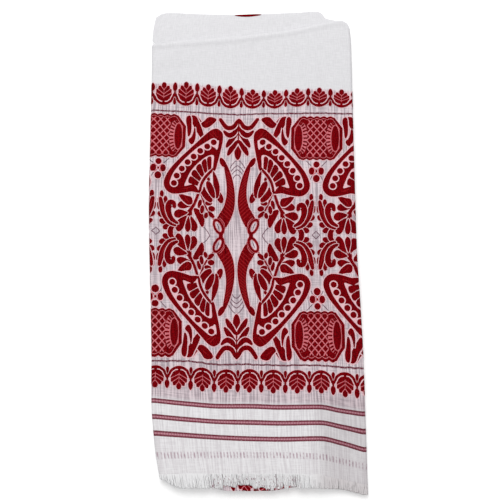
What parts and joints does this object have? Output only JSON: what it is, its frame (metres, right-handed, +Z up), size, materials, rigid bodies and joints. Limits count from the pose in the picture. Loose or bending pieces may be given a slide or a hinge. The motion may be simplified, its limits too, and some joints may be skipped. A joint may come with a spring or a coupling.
{
  "type": "folded gamosa",
  "caption": "Long woven cotton towel with figured ends, folded into thirds both ways and lying flat, its short fringe along the lower edge.",
  "frame": {"origin": "middle of the underside of the folded cloth's box", "axes": "+X across the folded strip to the right of the figured face, +Y along it from the fringed end to the top fold, +Z up from the surface"},
  "size_m": [0.249, 0.5666, 0.013],
  "materials": {
    "cloth": "matt plain-woven white cotton with red and pink inlaid figures",
    "fringe": "matt loose white cotton warp ends"
  },
  "bodies": {
    "root": {"cloth": "cloth", "fringe_near_end": "fringe", "fringe_far_end": "fringe"}
  },
  "joints": []
}
